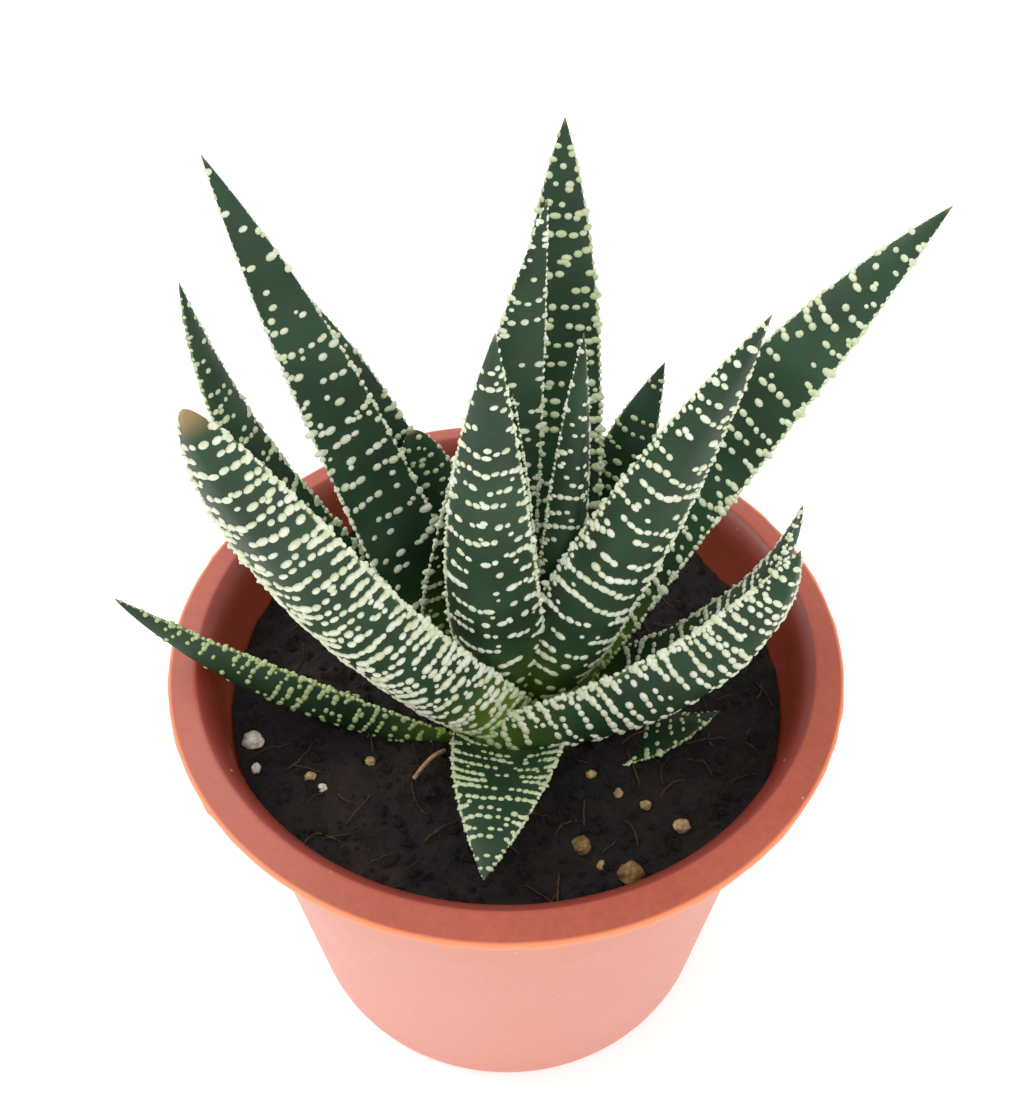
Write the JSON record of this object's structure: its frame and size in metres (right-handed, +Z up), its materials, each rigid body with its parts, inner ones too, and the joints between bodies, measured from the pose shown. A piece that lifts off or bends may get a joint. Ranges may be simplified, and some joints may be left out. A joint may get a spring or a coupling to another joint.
{
  "type": "potted gasteraloe",
  "caption": "Small warty-leaved succulent standing in peat mix in a round tapered plastic nursery pot with a flat rolled-out rim.",
  "frame": {"origin": "centre of the pot's underside, on the surface it stands on", "axes": "+Z up along the pot's axis; +Y away from the plant's front, +X to the plant's right as seen from the front"},
  "size_m": [0.114, 0.105, 0.153],
  "materials": {
    "pot_terracotta": "thin terracotta-coloured thermoformed plastic, satin, with fine moulding texture",
    "potting_mix": "dark fibrous peat mix, dull and crumbly",
    "leaf_green": "dark green leathery skin with raised cream-white warts in cross bands",
    "stem_green": "pale yellow-green, fibrous",
    "husk_tan": "dry papery leaf sheath",
    "grit_pale": "matt white perlite and grit",
    "grit_tan": "matt tan and brown grit"
  },
  "bodies": {
    "root": {"dry_husk": "husk_tan", "grit_centre_left": "grit_tan", "grit_centre_right": "grit_tan", "grit_front_brown": "grit_tan", "grit_front_dot": "grit_tan", "grit_left_dot": "grit_pale", "grit_left_pale": "grit_tan", "grit_right_middle": "grit_tan", "grit_right_tan": "grit_tan", "grit_right_upper": "grit_tan", "grit_rim_stone": "grit_tan", "grit_white_large": "grit_pale", "grit_white_small": "grit_pale", "leaf_back_inner": "leaf_green", "leaf_back_left_short": "leaf_green", "leaf_back_right_small": "leaf_green", "leaf_back_tall": "leaf_green", "leaf_front_left": "leaf_green", "leaf_front_right": "leaf_green", "leaf_front_short": "leaf_green", "leaf_heart_front": "leaf_green", "leaf_heart_right": "leaf_green", "leaf_heart_youngest": "leaf_green", "leaf_left_back": "leaf_green", "leaf_left_inner": "leaf_green", "leaf_left_low": "leaf_green", "leaf_left_tall": "leaf_green", "leaf_right_inner": "leaf_green", "leaf_right_low": "leaf_green", "leaf_right_sunken": "leaf_green", "leaf_right_tall": "leaf_green", "pot": "pot_terracotta", "potting_mix": "potting_mix", "stem": "stem_green"}
  },
  "joints": []
}
